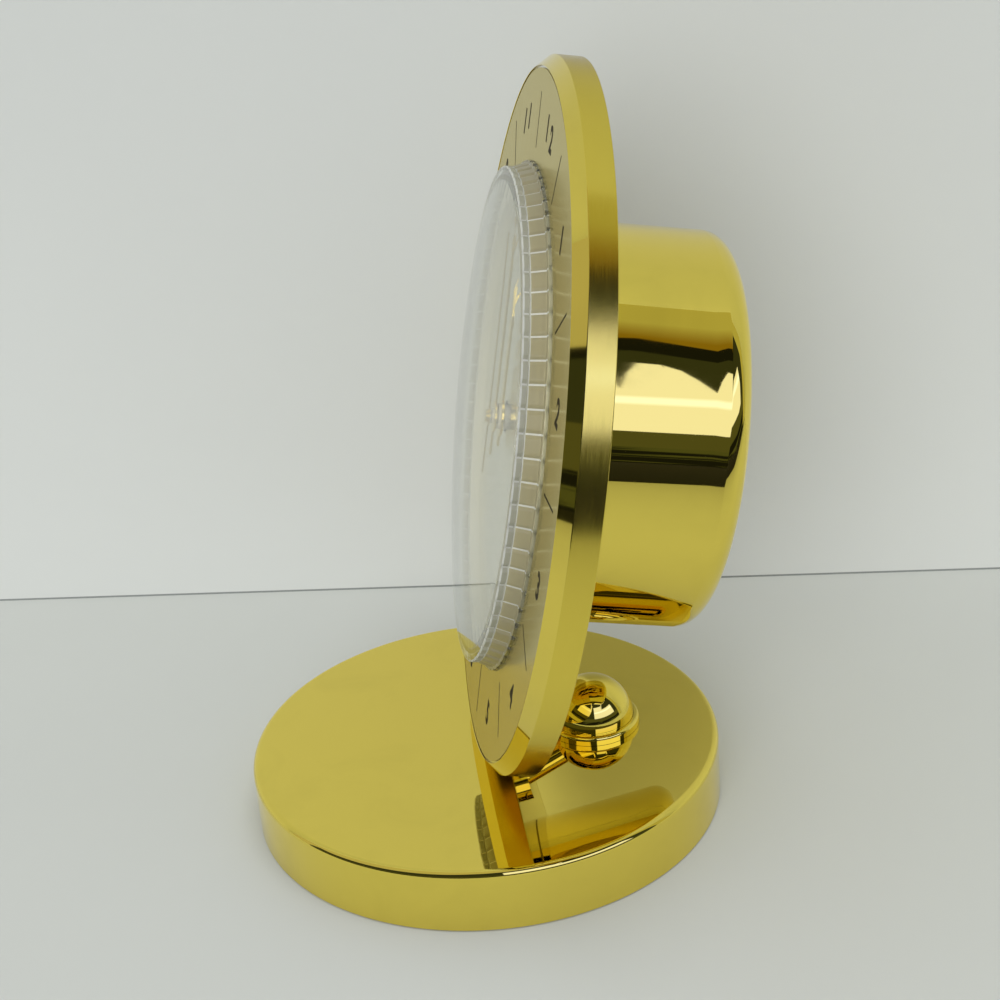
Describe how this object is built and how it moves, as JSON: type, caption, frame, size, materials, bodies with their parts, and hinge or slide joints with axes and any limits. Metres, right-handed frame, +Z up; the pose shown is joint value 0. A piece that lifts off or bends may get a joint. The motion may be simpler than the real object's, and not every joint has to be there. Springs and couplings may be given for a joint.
{
  "type": "desk clock",
  "caption": "Round brass desk clock: a disc head with a raised fluted crystal and a rear cup for the movement, swivelling and tilting on a ball above a round weighted base.",
  "frame": {"origin": "middle of the base's underside, on the surface that the clock stands on", "axes": "+Z up, -Y the way that the dial faces, +X to the right as the dial is read"},
  "size_m": [0.14, 0.1052, 0.1536],
  "materials": {
    "polished_brass": "mirror polished",
    "bezel_brass": "satin band and polished bevel",
    "plain_brass": "turned",
    "dial_print": "fine circular grain under clear lacquer",
    "felt": "felt",
    "weight_steel": "rough",
    "bright_steel": "bright",
    "clear_acrylic": "clear, polished",
    "black_plastic": "moulded, fine grain",
    "black_rubber": "matte",
    "white_plastic": "moulded",
    "board_green": "lacquered",
    "coil_copper": "enamelled wire",
    "cell_jacket": "printed jacket, plain",
    "magnet": "ground",
    "hand_brass": "thin bright strip"
  },
  "bodies": {
    "base": {"base_shell": "polished_brass", "base_weight": "weight_steel", "base_pad": "felt"},
    "swivel": {"swivel_collar": "polished_brass", "pull_stud": "bright_steel", "spring_washers": "bright_steel", "stud_nut": "bright_steel"},
    "head": {"swivel_ball": "polished_brass", "support_arm": "polished_brass", "arm_screw": "bright_steel", "back_plate": "plain_brass", "bezel_ring": "bezel_brass", "dial_spacer": "black_plastic", "dial_plate": "dial_print", "crystal_retainer": "white_plastic", "retainer_rivets": "bright_steel", "cup_ring": "plain_brass", "cup_ring_screws": "bright_steel", "movement_case": "black_plastic", "movement_cover": "black_plastic", "train_bridge": "white_plastic", "shaft_washer": "black_rubber", "shaft_nut": "plain_brass", "circuit_board": "board_green", "quartz_can": "bright_steel", "motor_coil": "coil_copper", "motor_stator": "bright_steel", "battery": "cell_jacket", "contact_plus": "bright_steel", "contact_minus": "bright_steel"},
    "crystal": {"crystal": "clear_acrylic", "number_ring": "dial_print"},
    "rear_cup": {"rear_cup": "polished_brass"},
    "hour": {"hour_hand": "hand_brass", "hour_wheel": "white_plastic"},
    "minute": {"minute_hand": "hand_brass", "cannon_pinion": "white_plastic"},
    "setting": {"minute_wheel": "white_plastic", "setting_knob": "black_plastic"},
    "second": {"second_hand": "hand_brass", "seconds_wheel": "white_plastic"},
    "centre": {"centre_wheel": "white_plastic"},
    "third": {"third_wheel": "white_plastic"},
    "drive": {"drive_wheel": "white_plastic"},
    "rotor": {"rotor": "magnet"}
  },
  "joints": [
    {"name": "head_swivel", "type": "hinge", "parent": "base", "child": "swivel", "pos_m": [0, 0.0233, 0.0135], "axis": [0, 0, 1], "continuous": true},
    {"name": "head_tilt", "type": "hinge", "parent": "swivel", "child": "head", "pos_m": [0, 0.0233, 0.0154], "axis": [-1, 0, 0], "range_deg": [-3, 15]},
    {"name": "crystal_turn", "type": "hinge", "parent": "head", "child": "crystal", "pos_m": [0, 0.01758, 0.08395], "axis": [0, 0.9816, -0.1908], "continuous": true},
    {"name": "cup_pull", "type": "slide", "parent": "head", "child": "rear_cup", "axis": [0, 0.9816, -0.1908], "range_m": [0, 0.035]},
    {"name": "minute_turn", "type": "hinge", "parent": "head", "child": "minute", "pos_m": [0, 0.01758, 0.08395], "axis": [0, 0.9816, -0.1908], "continuous": true},
    {"name": "hour_turn", "type": "hinge", "parent": "head", "child": "hour", "pos_m": [0, 0.01758, 0.08395], "axis": [0, 0.9816, -0.1908], "continuous": true},
    {"name": "setting_turn", "type": "hinge", "parent": "head", "child": "setting", "pos_m": [-0.00707, 0.01892, 0.09089], "axis": [0, 0.9816, -0.1908], "continuous": true},
    {"name": "second_turn", "type": "hinge", "parent": "head", "child": "second", "pos_m": [0, 0.01758, 0.08395], "axis": [0, 0.9816, -0.1908], "continuous": true},
    {"name": "third_turn", "type": "hinge", "parent": "head", "child": "third", "pos_m": [0.00796, 0.01864, 0.08943], "axis": [0, 0.9816, -0.1908], "continuous": true},
    {"name": "centre_turn", "type": "hinge", "parent": "head", "child": "centre", "pos_m": [0, 0.01758, 0.08395], "axis": [0, 0.9816, -0.1908], "continuous": true},
    {"name": "drive_turn", "type": "hinge", "parent": "head", "child": "drive", "pos_m": [0, 0.01918, 0.0922], "axis": [0, 0.9816, -0.1908], "continuous": true},
    {"name": "rotor_turn", "type": "hinge", "parent": "head", "child": "rotor", "pos_m": [0.003, 0.02017, 0.0973], "axis": [0, 0.9816, -0.1908], "continuous": true}
  ],
  "couplings": [
    {"joint": "hour_turn", "follows": "minute_turn", "ratio": 0.083333},
    {"joint": "setting_turn", "follows": "minute_turn", "ratio": -0.33333},
    {"joint": "third_turn", "follows": "second_turn", "ratio": -0.13333},
    {"joint": "centre_turn", "follows": "second_turn", "ratio": 0.016667},
    {"joint": "drive_turn", "follows": "second_turn", "ratio": -6},
    {"joint": "rotor_turn", "follows": "second_turn", "ratio": 30}
  ]
}
